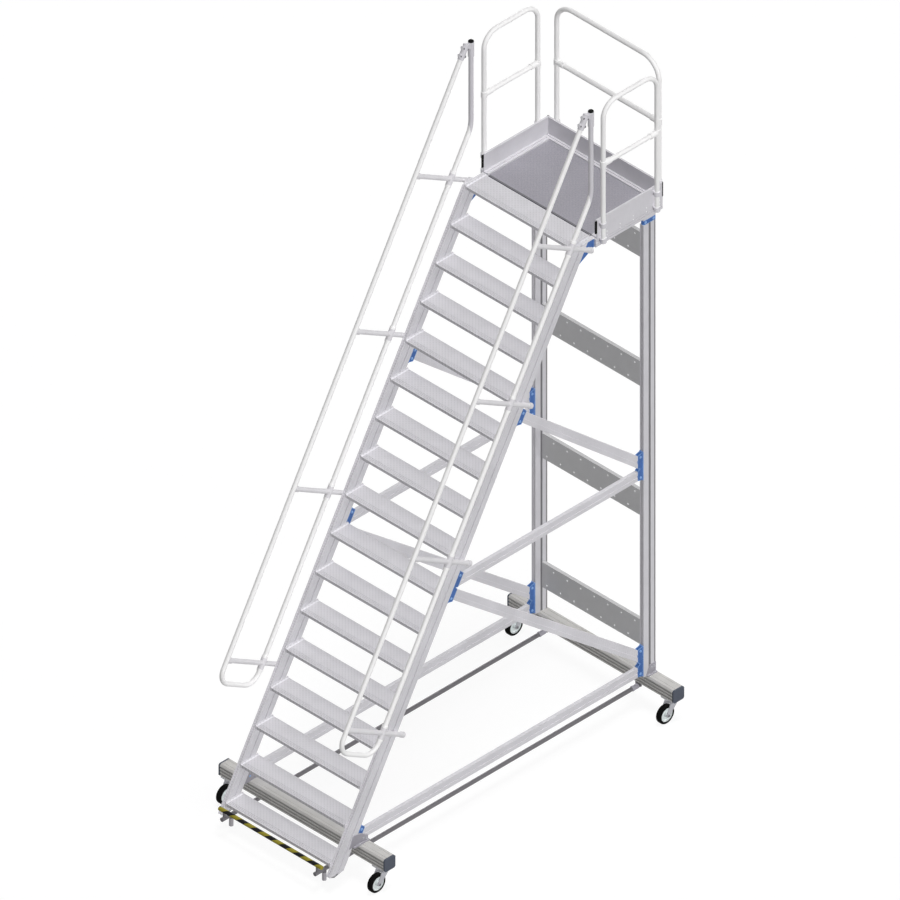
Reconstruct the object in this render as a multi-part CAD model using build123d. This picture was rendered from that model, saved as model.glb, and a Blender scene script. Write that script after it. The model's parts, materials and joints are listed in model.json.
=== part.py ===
from build123d import *
import math
import os

# Mobile platform stairs of aluminium sections: a steep flight on two stringers, a railed platform
# on two rear posts, a zigzag of braces on each side and two cross beams on four swivel casters.
# Millimetres. X is across the stairs with the left side at minus X, Y is the way one climbs, Z is up.
# The floor is at Z zero. Y is counted from the front wheels' axle line while the pieces are
# drawn, and every piece is then moved so that the origin is the middle of the footprint.

# Flight
slope_deg = 60.0
rise = 240.0
tread_count = 17
first_tread_top = 217.0
first_nose_y = -213.0
tread_length = 965.0
tread_depth = 163.0
tread_height = 22.0
tread_skin = 5.0
tread_web = 4.0
tread_groove_width = 5.0
tread_groove_depth = 2.0
tread_groove_pitch = 12.0
tread_groove_count = 3
tread_end_plate = 4.0
tread_bead = 12.0
last_tread_extra = 21.0

# Stringers
stringer_width = 35.0
stringer_depth = 110.0
stringer_back_y = -197.9
stringer_foot_z = 135.0
stringer_top_drop = 6.0
stringer_cover = 6.0
groove_width = 18.0
edge_groove_width = 11.0
groove_depth = 7.0
foot_plug_drop = 18.0
foot_plug_inset = 3.0
foot_plug_tip_share = 1 / 3

# Base beams
beam_length = 1536.0
beam_height = 100.0
beam_depth = 100.0
beam_top_z = 277.0
beam_chamfer = 10.0
beam_groove_height = 12.0
beam_groove_depth = 5.0
beam_groove_count = 3
beam_line_width = 6.0
beam_line_depth = 2.0
beam_line_inset = 26.0
beam_cap_length = 12.0
front_beam_y = 59.0

# Rear posts
post_front_overhang = 25.0
post_back_setback = 55.0
post_cap_height = 36.0
post_pad_height = 26.0

# Rear cross boards
board_height = 200.0
board_thickness = 8.0
board_flange = 26.0
board_front_setback = 61.0
board_first_top = 668.0
board_pitch = 1040.0
board_count = 4

# Side braces and their joint pieces
brace_width = 27.0
brace_depth = 74.0
brace_groove_width = 16.0
brace_groove_depth = 4.0
joint_depth = 50.0
joint_taper = 14.0
joint_notch_depth = 26.0
joint_notch_gap = 6.0
joint_flange = 6.0
low_brace_z = 337.0
mid_brace_z = 1918.0
low_diagonal_post_z = 471.0
low_diagonal_slope_deg = 38.8
high_diagonal_post_z = 2033.0
high_diagonal_slope_deg = 40.5
joint_margin = 12.0
flight_top_joint_drop = 140.0

# Foot brackets
bracket_plate = 4.0
bracket_base = 8.0
bracket_flange_out = 18.0
front_bracket_back_y = 106.0
front_bracket_nose_z = 311.0
front_bracket_peak_z = 370.0
rear_bracket_height = 78.0
rear_bracket_top_width = 58.0

# Platform
platform_overhang = 11.5
platform_gap = 46.0
platform_drop = 17.0
platform_depth = 605.0
platform_frame_height = 62.0
side_rail_width = 52.0
rear_rail_width = 44.0
rail_line_height = 6.0
rail_line_depth = 2.0
rail_line_shares = (0.30, 0.62)
floor_thickness = 22.0
joist_width = 40.0
joist_count = 4
toe_height = 150.0
toe_thickness = 8.0
toe_lip = 6.0
toe_cap_length = 14.0
toe_cap_height = 97.0
toe_cap_drop = 8.0
toe_cap_width = 10.0
ledge_width = 36.0
side_ledge_width = 44.0
ledge_height = 12.0
ledge_groove_width = 9.0
ledge_groove_depth = 6.0

# Railings
tube_diameter = 34.0
railing_clear = 5.0
railing_top_height = 1078.0
railing_mid_height = 600.0
railing_foot_drop = 32.0
side_railing_front_inset = 33.0
side_railing_back_inset = 75.0
side_railing_bend = 118.0
rear_railing_end_inset = 57.0
rear_railing_bend = 145.0
sleeve_wall = 4.0
sleeve_length = 46.0
clamp_wall = 6.0
clamp_height = 34.0
clamp_width = 34.0
clamp_low_drop = 14.0
clamp_high_rise = 110.0

# Handrails of the flight
handrail_gap = 19.5
inner_leg_ahead = 203.0
outer_leg_ahead = 582.0
handrail_low_along = 986.0
handrail_low_bend = 100.0
handrail_high_bend = 220.0
handrail_post_setback = 84.0
handrail_post_height = 1080.0
handrail_cap_height = 12.0
handrail_cap_inset = 2.0
strut_shares = (0.246, 0.5094, 0.7513, 0.9901)
strut_tail = 20.0
strut_collar_length = 28.0
strut_head_sleeve = 26.0
strut_sleeve_length = 110.0
strut_boss_diameter = 22.0
strut_boss_inset = 25.0
knuckle_length = 112.0
knuckle_stop = 42.0
knuckle_collar_height = 112.0
knuckle_collar_drop = 2.0
knuckle_link_height = 38.0
knuckle_link_drop = 12.0
knuckle_link_width = 26.0

# Lifting gear of the wheels
lift_rod_diameter = 30.0
lift_rod_inset = 52.5
lift_rod_z = 152.0
lift_rod_front_y = -300.0
lift_rod_back_inset = 28.0
lift_bar_end_inset = 9.5
lift_bar_diameter = 30.0
lift_bar_y = -276.0
lift_bar_z = 213.0
lift_foot_y = -211.0
lift_foot_low_z = 65.0
lift_arm_diameter = 20.0
lift_hanger_thickness = 12.0
lift_hanger_width = 50.0

# Casters
caster_inset = 69.0
caster_trail = 58.0
wheel_radius = 70.0
wheel_width = 40.0
tyre_inner_radius = 52.0
tyre_round = 9.0
rim_wall = 7.0
rim_width = 34.0
rim_web = 8.0
hub_radius = 17.0
hub_end_gap = 1.0
axle_radius = 6.0
axle_clearance = 0.05
axle_nut_radius = 10.0
axle_nut_height = 6.0
fork_plate = 5.0
fork_side_gap = 5.5
fork_crown_gap = 7.0
fork_crown_thickness = 8.0
fork_crown_depth = 66.0
fork_foot_radius = 16.0
race_radius = 33.0
race_gap = 0.5
kingpin_radius = 8.0
kingpin_end_gap = 2.0
caster_plate_thickness = 8.0
caster_plate_length = 110.0
caster_plate_depth = 88.0
cut_overrun = 20.0

# Worked out from the sizes above
slope = math.radians(slope_deg)
slope_cos = math.cos(slope)
slope_sin = math.sin(slope)
going = rise / math.tan(slope)
floor_z = first_tread_top + rise * (tread_count - 1) - platform_drop
last_nose_y = first_nose_y + going * (tread_count - 1)
platform_front_y = last_nose_y + tread_depth + platform_gap
platform_nose_y = platform_front_y - toe_cap_length
platform_back_y = platform_front_y + platform_depth
stringer_x = tread_length / 2 + stringer_width / 2
stringer_top_z = floor_z + platform_drop - stringer_top_drop
stringer_outer_x = tread_length / 2 + stringer_width
platform_half_width = stringer_outer_x + platform_overhang
stringer_length = stringer_top_z / slope_sin
beam_bottom_z = beam_top_z - beam_height
post_back_y = platform_back_y - post_back_setback
post_front_y = post_back_y - stringer_depth
rear_beam_y = post_front_y + post_front_overhang + beam_depth / 2
frame_low_z = floor_z - platform_frame_height
post_top_z = frame_low_z - post_pad_height - post_cap_height
brace_post_end_y = post_front_y - joint_depth
tube_radius = tube_diameter / 2
railing_top_z = floor_z + railing_top_height
railing_mid_z = floor_z + railing_mid_height
railing_foot_z = floor_z - railing_foot_drop
side_railing_front_y = platform_front_y + side_railing_front_inset
side_railing_back_y = platform_back_y - side_railing_back_inset
rear_railing_half_span = platform_half_width - rear_railing_end_inset
handrail_post_y = platform_front_y - handrail_post_setback
handrail_post_top = floor_z + handrail_post_height
railing_x = platform_half_width + railing_clear + tube_radius
rear_railing_y = platform_back_y + railing_clear + tube_radius
handrail_x = stringer_outer_x + handrail_gap + tube_radius
sleeve_radius = tube_radius + sleeve_wall
lift_rod_radius = lift_rod_diameter / 2
lift_rod_x = tread_length / 2 - lift_rod_inset
lift_bar_radius = lift_bar_diameter / 2
lift_rod_back_y = rear_beam_y - lift_rod_back_inset
caster_x = beam_length / 2 - caster_inset
fork_inner_half = wheel_width / 2 + fork_side_gap
fork_outer_half = fork_inner_half + fork_plate
fork_crown_z = 2 * wheel_radius + fork_crown_gap
caster_plate_z = beam_bottom_z - caster_plate_thickness
footprint_front_y = lift_rod_front_y
footprint_back_y = rear_railing_y + tube_radius + clamp_wall
footprint_mid_y = (footprint_front_y + footprint_back_y) / 2


def on_slope(along, ahead):
    """Y and Z of a point this far up the stringers' back edge and this far square ahead of it."""
    y = stringer_back_y + along * slope_cos - ahead * slope_sin
    z = along * slope_sin + ahead * slope_cos
    return y, z


def back_edge_y(z):
    """Y of the stringers' back edge at a height."""
    return stringer_back_y + z / math.tan(slope)


def block(x0, x1, y0, y1, z0, z1):
    """Box between two corners."""
    centre = Pos((x0 + x1) / 2, (y0 + y1) / 2, (z0 + z1) / 2)
    return centre * Box(abs(x1 - x0), abs(y1 - y0), abs(z1 - z0))


def side_prism(points, x_mid, width):
    """Outline of Y and Z points, given a width across the stairs."""
    outline = make_face(Polyline(*points, close=True))
    return Pos(x_mid, 0, 0) * (Plane.YZ * extrude(outline, width / 2, both=True))


def rod(start, end, radius):
    """Round bar between two points."""
    line = Vector(*end) - Vector(*start)
    plane = Plane(origin=start, z_dir=line)
    return plane * extrude(Circle(radius), line.length)


def bent_tube(points, bends, radius):
    """Round bar along straight runs joined by bends."""
    path = FilletPolyline(*points, radius=bends)
    start = Plane(origin=path @ 0, z_dir=path % 0)
    return sweep(start * Circle(radius), path=path)


def grooved_section(width, depth):
    """Rectangular section with a groove in the middle of its two wide sides and its two edges."""
    section = Rectangle(width, depth)
    for side in (-1, 1):
        section -= Pos(side * width / 2, 0) * Rectangle(2 * groove_depth, groove_width)
        section -= Pos(0, side * depth / 2) * Rectangle(edge_groove_width, 2 * groove_depth)
    return section


def both_sides(make):
    """The same solid on the right side and the left side."""
    return [make(side) for side in (-1, 1)]


def tread_profile(depth):
    """Open channel with a grooved nosing, seen from the side, with its nose at the origin."""
    top = 0
    low = -tread_height
    points = [(0, low), (0, top)]
    for number in range(tread_groove_count):
        y = tread_groove_pitch * (number + 1) - tread_groove_width / 2
        points += [(y, top), (y, -tread_groove_depth)]
        points += [(y + tread_groove_width, -tread_groove_depth), (y + tread_groove_width, top)]
    under = -tread_skin
    middle = depth / 2
    points += [(depth, top), (depth, low), (depth - tread_web, low)]
    points += [(depth - tread_web, under), (middle + tread_web / 2, under)]
    points += [(middle + tread_web / 2, low), (middle - tread_web / 2, low)]
    points += [(middle - tread_web / 2, under), (tread_web, under), (tread_web, low)]
    return points


def tread_end_bead(side, depth):
    """Bead along a tread's end, which rises from the tread towards the stringer."""
    face = side * tread_length / 2
    inner = face - side * tread_bead
    outline = make_face(Polyline((inner, 0), (face, 0), (face, tread_bead), close=True))
    bead = Plane.XZ * extrude(outline, depth / 2, both=True)
    return Pos(0, depth / 2, 0) * bead


def make_tread(number):
    """One tread: a ribbed channel between two end plates, the last one a little deeper."""
    depth = tread_depth
    if number == tread_count - 1:
        depth += last_tread_extra
    channel = side_prism(tread_profile(depth), 0, tread_length - 2 * tread_end_plate)
    ends = [(0, -tread_height), (0, 0), (depth, 0), (depth, -tread_height)]
    plate_x = tread_length / 2 - tread_end_plate / 2
    tread = channel
    for side in (-1, 1):
        tread += side_prism(ends, side * plate_x, tread_end_plate)
        tread += tread_end_bead(side, depth)
    return Pos(0, first_nose_y + going * number, first_tread_top + rise * number) * tread


def slope_plane(x, along, ahead):
    """Plane square to the stringers, whose own Y points behind them."""
    y, z = on_slope(along, ahead)
    return Plane(origin=(x, y, z), x_dir=(1, 0, 0), z_dir=(0, slope_cos, slope_sin))


def make_stringer(side):
    """Sloped side member, cut level at its foot and at its top, with a cover towards the platform."""
    length = stringer_top_z / slope_sin + 2 * stringer_depth
    section = grooved_section(stringer_width, stringer_depth)
    plane = slope_plane(side * stringer_x, -stringer_depth, stringer_depth / 2)
    bar = plane * extrude(section, length)
    half = stringer_width
    x = side * stringer_x
    front = stringer_back_y - 2 * stringer_depth
    back = platform_back_y
    foot = block(x - half, x + half, front, back, -stringer_depth, stringer_foot_z)
    head_z = stringer_top_z + 2 * stringer_depth
    head = block(x - half, x + half, front, back, stringer_top_z, head_z)
    low = stringer_top_z - stringer_cover
    cover = [(back_edge_y(low), low), (back_edge_y(stringer_top_z), stringer_top_z)]
    cover += [(platform_nose_y, stringer_top_z), (platform_nose_y, low)]
    return bar - foot - head + side_prism(cover, x, stringer_width)


def make_foot_plug(side):
    """Wedge-shaped plastic plug under a stringer."""
    back = back_edge_y(stringer_foot_z) - foot_plug_inset
    front = back - stringer_depth / slope_sin + 2 * foot_plug_inset
    tip = front + (back - front) * foot_plug_tip_share
    low = stringer_foot_z - foot_plug_drop
    points = [(front, stringer_foot_z), (back, stringer_foot_z), (tip, low)]
    return side_prism(points, side * stringer_x, stringer_width - 2 * foot_plug_inset)


def make_post(side):
    """Upright behind the flight, from the rear beam to the platform frame."""
    section = grooved_section(stringer_width, stringer_depth)
    y = post_front_y + stringer_depth / 2
    return Pos(side * stringer_x, y, beam_top_z) * extrude(section, post_top_z - beam_top_z)


def beam_outline(y_mid):
    """Square section with cut corners, grooves on its front and back and lines on its top and bottom."""
    half = beam_depth / 2
    low = beam_bottom_z
    high = beam_top_z
    cut = beam_chamfer
    pitch = beam_height / (beam_groove_count + 1)
    front = [(-half, low + cut)]
    for number in range(beam_groove_count):
        z = low + pitch * (number + 1) - beam_groove_height / 2
        front += [(-half, z), (-half + beam_groove_depth, z)]
        z += beam_groove_height
        front += [(-half + beam_groove_depth, z), (-half, z)]
    front += [(-half, high - cut), (-half + cut, high)]
    line = -half + beam_line_inset
    floor = high - beam_line_depth
    front += [(line, high), (line, floor), (line + beam_line_width, floor), (line + beam_line_width, high)]
    back = [(-y, z) for y, z in reversed(front)]
    line = half - beam_line_inset
    floor = low + beam_line_depth
    under = [(half - cut, low), (line, low), (line, floor)]
    under += [(line - beam_line_width, floor), (line - beam_line_width, low)]
    points = front + back + under + [(-y, z) for y, z in reversed(under)]
    return [(y_mid + y, z) for y, z in points]


def make_beam(y_mid):
    """Cross beam between its two end caps."""
    return side_prism(beam_outline(y_mid), 0, beam_length - 2 * beam_cap_length)


def make_beam_caps():
    """Plastic caps on both ends of both beams."""
    caps = []
    half = beam_depth / 2
    cut = beam_chamfer
    corner = [(-half, beam_bottom_z + cut), (-half, beam_top_z - cut), (-half + cut, beam_top_z)]
    for y_mid in (front_beam_y, rear_beam_y):
        points = [(y_mid + y, z) for y, z in corner]
        points += [(y_mid + half - cut, beam_top_z), (y_mid + half, beam_top_z - cut)]
        points += [(y_mid + half, beam_bottom_z + cut), (y_mid + half - cut, beam_bottom_z)]
        points += [(y_mid - half + cut, beam_bottom_z)]
        for side in (-1, 1):
            x = side * (beam_length / 2 - beam_cap_length / 2)
            caps.append(side_prism(points, x, beam_cap_length))
    return caps


def make_boards():
    """Cross boards between the posts, each a plate with a flange along its top and bottom."""
    boards = []
    front = post_front_y + board_front_setback
    for number in range(board_count):
        top = board_first_top + board_pitch * number
        low = top - board_height
        points = [(front, low), (front, top), (front + board_flange, top)]
        points += [(front + board_flange, top - board_thickness)]
        points += [(front + board_thickness, top - board_thickness)]
        points += [(front + board_thickness, low + board_thickness)]
        points += [(front + board_flange, low + board_thickness), (front + board_flange, low)]
        boards.append(side_prism(points, 0, tread_length))
    return boards


def ahead_of(y, z):
    """How far a point lies square ahead of the stringers' back edge."""
    return z * slope_cos - (y - stringer_back_y) * slope_sin


def brace_points(y, z, angle_deg, depth):
    """Outline of a brace from a point by the post up towards the flight, cut to both joints."""
    angle = math.radians(angle_deg)
    run = (-math.cos(angle), math.sin(angle))
    square = (-run[1], run[0])
    fall = run[1] * slope_cos - run[0] * slope_sin
    ends = []
    for side in (-1, 1):
        start_y = y + side * depth / 2 * square[0]
        start_z = z + side * depth / 2 * square[1]
        at_post = (brace_post_end_y - start_y) / run[0]
        at_flight = (-joint_depth - ahead_of(start_y, start_z)) / fall
        near = (start_y + at_post * run[0], start_z + at_post * run[1])
        far = (start_y + at_flight * run[0], start_z + at_flight * run[1])
        ends.append((near, far))
    return [ends[0][0], ends[0][1], ends[1][1], ends[1][0]]


# Braces of one side: height at the post, slope in degrees
brace_table = (
    (low_brace_z, 0.0),
    (low_diagonal_post_z, low_diagonal_slope_deg),
    (mid_brace_z, 0.0),
    (high_diagonal_post_z, high_diagonal_slope_deg),
)


def make_braces(side):
    """Level and diagonal braces of one side, with a groove along both faces."""
    braces = []
    for z, angle in brace_table:
        outline = brace_points(brace_post_end_y, z, angle, brace_depth)
        groove = brace_points(brace_post_end_y, z, angle, brace_groove_width)
        brace = side_prism(outline, side * stringer_x, brace_width)
        for face in (-1, 1):
            x = side * stringer_x + face * brace_width / 2
            brace -= side_prism(groove, x, 2 * brace_groove_depth)
        braces.append(brace)
    return braces


def joint_outline(low, high, notch_low, notch_high):
    """Outline of a joint piece, along and square behind its seat, with a notch between two braces."""
    points = [(low, 0), (high, 0), (high - joint_taper, joint_depth)]
    if notch_high > notch_low:
        middle = (notch_low + notch_high) / 2
        points += [(notch_high, joint_depth), (middle, joint_notch_depth), (notch_low, joint_depth)]
    return points + [(low + joint_taper, joint_depth)]


def joint_casting(points, flange, side):
    """Joint piece on its wider foot flange."""
    x = side * stringer_x
    return side_prism(points, x, brace_width) + side_prism(flange, x, stringer_width)


def post_joint(side, low, high, notch_low, notch_high):
    """Joint piece on a post's front edge."""
    outline = joint_outline(low, high, notch_low, notch_high)
    foot = [(low, 0), (high, 0), (high, joint_flange), (low, joint_flange)]
    points = [(post_front_y - out, z) for z, out in outline]
    flange = [(post_front_y - out, z) for z, out in foot]
    return joint_casting(points, flange, side)


def flight_joint(side, low, high, notch_low, notch_high):
    """Joint piece on a stringer's back edge, whose flange starts above the front bracket."""
    outline = joint_outline(low, high, notch_low, notch_high)
    foot_low = max(low, front_bracket_peak_z / slope_sin)
    foot = [(foot_low, 0), (high, 0), (high, joint_flange), (foot_low, joint_flange)]
    points = [on_slope(along, -out) for along, out in outline]
    flange = [on_slope(along, -out) for along, out in foot]
    return joint_casting(points, flange, side)


def along_of(y, z):
    """How far up the stringers' back edge a point lies."""
    return (y - stringer_back_y) * slope_cos + z * slope_sin


def brace_end_alongs(number):
    """Lowest and highest place on the flight of a brace's end."""
    z, angle = brace_table[number]
    corners = brace_points(brace_post_end_y, z, angle, brace_depth)
    alongs = [along_of(*corners[1]), along_of(*corners[2])]
    return min(alongs), max(alongs)


def brace_post_span(number):
    """Lowest and highest point of a brace's end at the post."""
    z, angle = brace_table[number]
    half = brace_depth / 2 / math.cos(math.radians(angle))
    return z - half, z + half


def make_post_cap(side):
    """Cap over a post's whole section, with a round front."""
    x = side * stringer_x
    radius = stringer_width / 2
    round_y = post_front_y + radius
    top = post_top_z + post_cap_height
    cap = block(x - radius, x + radius, round_y, post_back_y, post_top_z, top)
    return cap + rod((x, round_y, post_top_z), (x, round_y, top), radius)


def make_joints(side):
    """Cast joint pieces of one side, where braces meet the post and the flight."""
    pad = joint_margin + joint_taper
    joints = []
    for low_number, high_number in ((0, 1), (2, 3)):
        low_span = brace_post_span(low_number)
        high_span = brace_post_span(high_number)
        low = max(low_span[0] - joint_margin, beam_top_z + joint_margin)
        high = high_span[1] + joint_margin
        notch = (low_span[1] + joint_notch_gap, high_span[0] - joint_notch_gap)
        joints.append(post_joint(side, low, high, *notch))
    for low_number, high_number in ((0, 0), (1, 2), (3, 3)):
        low_span = brace_end_alongs(low_number)
        high_span = brace_end_alongs(high_number)
        notch = (low_span[1] + joint_notch_gap, high_span[0] - joint_notch_gap)
        joints.append(flight_joint(side, low_span[0] - pad, high_span[1] + pad, *notch))
    joints.append(make_post_cap(side))
    low_z = floor_z - flight_top_joint_drop
    high_z = stringer_top_z - stringer_cover
    points = [(back_edge_y(low_z), low_z), (back_edge_y(high_z), high_z)]
    points += [(platform_nose_y, high_z), (platform_nose_y, frame_low_z)]
    joints.append(side_prism(points, side * stringer_x, brace_width))
    return joints


def make_front_bracket(side):
    """Two cheeks on a base plate, which tie a stringer's back edge to the front beam."""
    base_top = beam_top_z + bracket_base
    peak = front_bracket_peak_z
    x = side * stringer_x
    cheek_x = stringer_width / 2 - bracket_plate / 2
    points = [(back_edge_y(beam_top_z), beam_top_z), (back_edge_y(peak), peak)]
    points += [(front_bracket_back_y, front_bracket_nose_z), (front_bracket_back_y, beam_top_z)]
    base = [(back_edge_y(beam_top_z), beam_top_z), (back_edge_y(base_top), base_top)]
    base += [(front_bracket_back_y, base_top), (front_bracket_back_y, beam_top_z)]
    base_x = x + side * bracket_flange_out / 2
    bracket = side_prism(base, base_x, stringer_width + bracket_flange_out)
    for cheek in (-1, 1):
        bracket += side_prism(points, x + cheek * cheek_x, bracket_plate)
    return bracket


def make_rear_bracket(side):
    """Angle at the foot of a post, on its outer side."""
    plate = bracket_plate
    base_top = beam_top_z + bracket_base
    beam_front = rear_beam_y - beam_depth / 2
    top = beam_top_z + rear_bracket_height
    points = [(beam_front, beam_top_z), (beam_front, base_top)]
    points += [(post_back_y - rear_bracket_top_width, top), (post_back_y, top)]
    points += [(post_back_y, beam_top_z)]
    bracket = side_prism(points, side * (stringer_outer_x + plate / 2), plate)
    inner = side * stringer_outer_x
    outer = side * (stringer_outer_x + bracket_flange_out)
    bracket += block(inner, outer, beam_front, post_back_y, beam_top_z, base_top)
    return bracket


def make_platform_frame():
    """Side rails with lines on their outer faces, rear rail, joists and the pads over the posts."""
    low = frame_low_z
    outer = platform_half_width
    inner = outer - side_rail_width
    front = platform_front_y
    back = platform_back_y
    under = floor_z - floor_thickness
    floor_back = back - rear_rail_width
    frame = block(-outer, outer, floor_back, back, low, floor_z)
    for side in (-1, 1):
        frame += block(side * inner, side * outer, platform_nose_y, back, low, floor_z)
        near = side * (stringer_x - stringer_width / 2)
        far = side * (stringer_x + stringer_width / 2)
        frame += block(near, far, post_front_y, post_back_y, low - post_pad_height, low)
        for share in rail_line_shares:
            z = floor_z - share * platform_frame_height
            cut = side * (outer - rail_line_depth)
            past = side * (outer + rail_line_depth)
            frame -= block(cut, past, front - cut_overrun, back + cut_overrun, z - rail_line_height, z)
    step = (floor_back - front - joist_width) / (joist_count - 1)
    for number in range(joist_count):
        y = front + step * number
        frame += block(-inner, inner, y, y + joist_width, low, under)
    return frame


def make_floor():
    """Floor plate of the platform."""
    inner = platform_half_width - side_rail_width
    floor_back = platform_back_y - rear_rail_width
    return block(-inner, inner, platform_front_y, floor_back, floor_z - floor_thickness, floor_z)


def make_ledge(x0, x1, y0, y1, across):
    """Ledge at the foot of a toe board, with a groove along it, across X or Y."""
    high = floor_z + ledge_height
    floor = high - ledge_groove_depth
    half = ledge_groove_width / 2
    ledge = block(x0, x1, y0, y1, floor_z, high)
    if across == "X":
        middle = (x0 + x1) / 2
        return ledge - block(middle - half, middle + half, y0, y1, floor, high)
    middle = (y0 + y1) / 2
    return ledge - block(x0, x1, middle - half, middle + half, floor, high)


def make_toe_boards():
    """Upstands on three sides of the platform, with a lip along the top and a ledge at the foot."""
    top = floor_z + toe_height
    outer = platform_half_width
    front = platform_front_y
    back = platform_back_y
    lip = toe_thickness + toe_lip
    lip_low = top - toe_lip
    boards = block(-outer, outer, back - toe_thickness, back, floor_z, top)
    boards += block(-outer, outer, back - lip, back, lip_low, top)
    ledge_x = outer - toe_thickness
    ledge_y = back - toe_thickness - ledge_width
    boards += make_ledge(-ledge_x, ledge_x, ledge_y, back - toe_thickness, "Y")
    for side in (-1, 1):
        near = side * (ledge_x - side_ledge_width)
        boards += make_ledge(near, side * ledge_x, front, ledge_y, "X")
        boards += block(side * (outer - toe_thickness), side * outer, front, back, floor_z, top)
        boards += block(side * (outer - lip), side * outer, front, back, lip_low, top)
    return boards


def make_toe_caps():
    """Caps on the front ends of the toe boards."""
    caps = []
    top = floor_z + toe_height - toe_cap_drop
    for side in (-1, 1):
        inner = side * (platform_half_width - toe_cap_width)
        outer = side * platform_half_width
        caps.append(block(inner, outer, platform_nose_y, platform_front_y, top - toe_cap_height, top))
    return caps


def make_railing(first, last, bend):
    """Bent top rail with its two legs, and a mid rail between sleeves."""
    foot_a = (first[0], first[1], railing_foot_z)
    foot_b = (last[0], last[1], railing_foot_z)
    top_a = (first[0], first[1], railing_top_z)
    top_b = (last[0], last[1], railing_top_z)
    hoop = bent_tube((foot_a, top_a, top_b, foot_b), bend, tube_radius)
    mid_a = Vector(first[0], first[1], railing_mid_z)
    mid_b = Vector(last[0], last[1], railing_mid_z)
    way = (mid_b - mid_a).normalized()
    reach = sleeve_radius + sleeve_length
    for start, sign in ((mid_a, 1), (mid_b, -1)):
        low = (start.X, start.Y, railing_mid_z - sleeve_length / 2)
        high = (start.X, start.Y, railing_mid_z + sleeve_length / 2)
        hoop += rod(low, high, sleeve_radius)
        end = start + way * (sign * reach)
        hoop += rod(tuple(start), tuple(end), sleeve_radius)
    hoop += rod(tuple(mid_a + way * reach), tuple(mid_b - way * reach), tube_radius)
    return hoop


def make_side_railing(side):
    """Railing along one side of the platform."""
    x = side * railing_x
    return make_railing((x, side_railing_front_y), (x, side_railing_back_y), side_railing_bend)


def make_rear_railing():
    """Railing along the back of the platform."""
    span = rear_railing_half_span
    return make_railing((-span, rear_railing_y), (span, rear_railing_y), rear_railing_bend)


# Railing legs: X, Y and how far the way to the platform is turned from plus X, in degrees
leg_table = (
    (-railing_x, side_railing_front_y, 0.0),
    (-railing_x, side_railing_back_y, 0.0),
    (railing_x, side_railing_front_y, 180.0),
    (railing_x, side_railing_back_y, 180.0),
    (-rear_railing_half_span, rear_railing_y, -90.0),
    (rear_railing_half_span, rear_railing_y, -90.0),
)


def make_clamps():
    """Clamps that hold the railing legs to the platform frame and the toe boards."""
    clamps = []
    reach = tube_radius + railing_clear
    ring_radius = tube_radius + clamp_wall
    for x, y, turn in leg_table:
        for z in (floor_z - clamp_low_drop, floor_z + clamp_high_rise):
            clamp = Cylinder(ring_radius, clamp_height)
            clamp += Pos(reach / 2, 0, 0) * Box(reach, clamp_width, clamp_height)
            clamp -= Pos(reach + ring_radius, 0, 0) * Box(2 * ring_radius, 2 * ring_radius, clamp_height)
            clamp -= Cylinder(tube_radius, clamp_height)
            clamps.append(Pos(x, y, z) * Rot(0, 0, turn) * clamp)
    return clamps


def strut_places():
    """Places of the struts along the stringers."""
    return [share * stringer_length for share in strut_shares]


def along_at_y(y, ahead):
    """How far up the flight a line parallel to the stringers comes to a given Y."""
    return (y - stringer_back_y + ahead * slope_sin) / slope_cos


def make_handrail(side):
    """Double rail beside the flight: two long legs, the bend that joins them and the sleeves."""
    x = side * handrail_x
    outer_top_along = along_at_y(handrail_post_y - knuckle_stop, outer_leg_ahead)
    inner_bend_along = along_at_y(handrail_post_y, inner_leg_ahead)
    route = [
        on_slope(outer_top_along, outer_leg_ahead),
        on_slope(handrail_low_along, outer_leg_ahead),
        on_slope(handrail_low_along, inner_leg_ahead),
        on_slope(inner_bend_along, inner_leg_ahead),
        (handrail_post_y, handrail_post_top),
    ]
    points = [(x, y, z) for y, z in route]
    bends = (handrail_low_bend, handrail_low_bend, handrail_high_bend)
    rail = bent_tube(points, bends, tube_radius)
    half = strut_sleeve_length / 2
    for along in strut_places():
        low = on_slope(along - half, inner_leg_ahead)
        high = on_slope(along + half, inner_leg_ahead)
        rail += rod((x, *low), (x, *high), sleeve_radius)
    knuckle_low = on_slope(outer_top_along - knuckle_length, outer_leg_ahead)
    rail += rod((x, *knuckle_low), points[0], sleeve_radius)
    collar_top = handrail_post_top - knuckle_collar_drop
    collar = (x, handrail_post_y, collar_top - knuckle_collar_height)
    rail += rod(collar, (x, handrail_post_y, collar_top), sleeve_radius)
    link_high = route[0][1] - knuckle_link_drop
    link_low = link_high - knuckle_link_height
    link = [on_slope(outer_top_along - knuckle_link_height, outer_leg_ahead), (handrail_post_y, link_low)]
    link += [(handrail_post_y, link_high), route[0]]
    rail += side_prism(link, x, knuckle_link_width)
    return rail


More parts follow.
